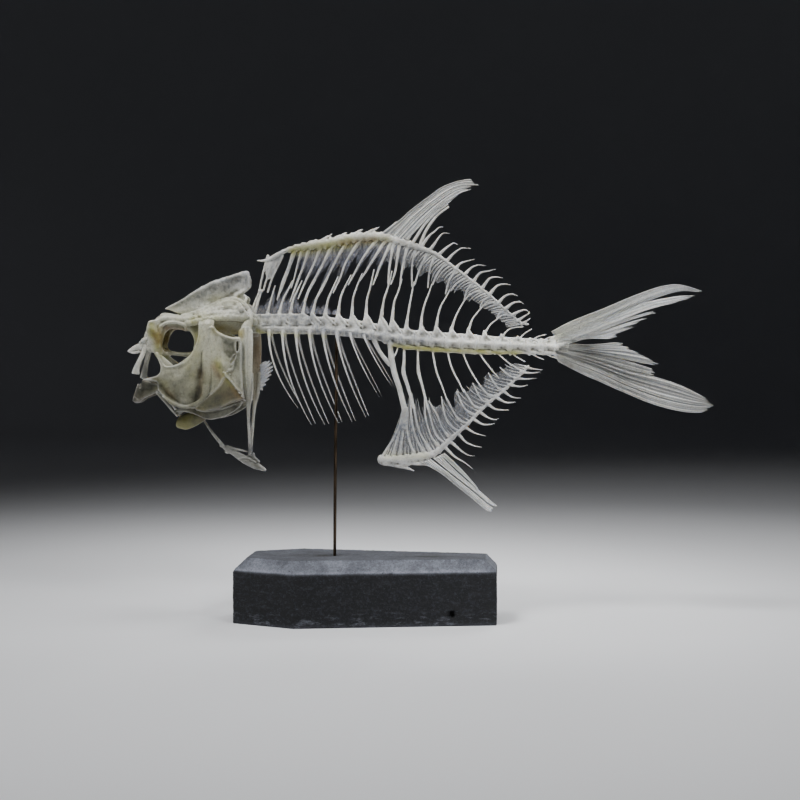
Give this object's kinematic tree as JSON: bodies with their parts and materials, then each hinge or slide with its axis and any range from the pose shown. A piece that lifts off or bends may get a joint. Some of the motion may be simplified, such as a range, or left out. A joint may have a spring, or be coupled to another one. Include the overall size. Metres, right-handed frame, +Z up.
{
  "type": "mounted fish skeleton",
  "caption": "Skeleton of a deep-bodied pompano, side on, held level by a thin rod on a coffin-shaped cast concrete base.",
  "frame": {"origin": "centre of the base's underside", "axes": "+X towards the tail along the fish, +Z up, +Y towards the fish's right side; the fish's flat middle plane is y = 0"},
  "size_m": [0.3003, 0.064, 0.2249],
  "materials": {
    "dry_bone": "dry, slightly porous ivory bone",
    "thin_bone": "thin, translucent blue-white bone",
    "fat_stained_bone": "bone stained yellow by fat",
    "cast_concrete": "rough dark blue-grey cast concrete",
    "dark_metal_rod": "dark bronzed"
  },
  "bodies": {
    "root": {"anal_lobe": "dry_bone", "anal_supports": "dry_bone", "caudal_lobe_lower": "dry_bone", "caudal_lobe_upper": "dry_bone", "cheek_left": "dry_bone", "cheek_right": "dry_bone", "cleithrum_left": "dry_bone", "cleithrum_right": "dry_bone", "dorsal_lobe": "dry_bone", "dorsal_supports_front": "dry_bone", "dorsal_supports_rear": "dry_bone", "hyoid_left": "dry_bone", "hyoid_right": "dry_bone", "lower_jaw_left": "dry_bone", "lower_jaw_right": "dry_bone", "maxilla_left": "dry_bone", "maxilla_right": "dry_bone", "neurocranium": "dry_bone", "opercle_left": "dry_bone", "opercle_right": "dry_bone", "pectoral_fin_right": "thin_bone", "pelvis": "dry_bone", "predorsal": "dry_bone", "premaxilla_left": "dry_bone", "premaxilla_right": "dry_bone", "preopercle_left": "dry_bone", "preopercle_right": "dry_bone", "ribs_left": "dry_bone", "ribs_right": "dry_bone", "stand_base": "cast_concrete", "stand_rod": "dark_metal_rod", "subopercle_left": "thin_bone", "subopercle_right": "thin_bone", "tail_vertebrae_front": "dry_bone", "tail_vertebrae_rear": "dry_bone", "trunk_vertebrae": "dry_bone", "urohyal": "fat_stained_bone"}
  },
  "joints": []
}
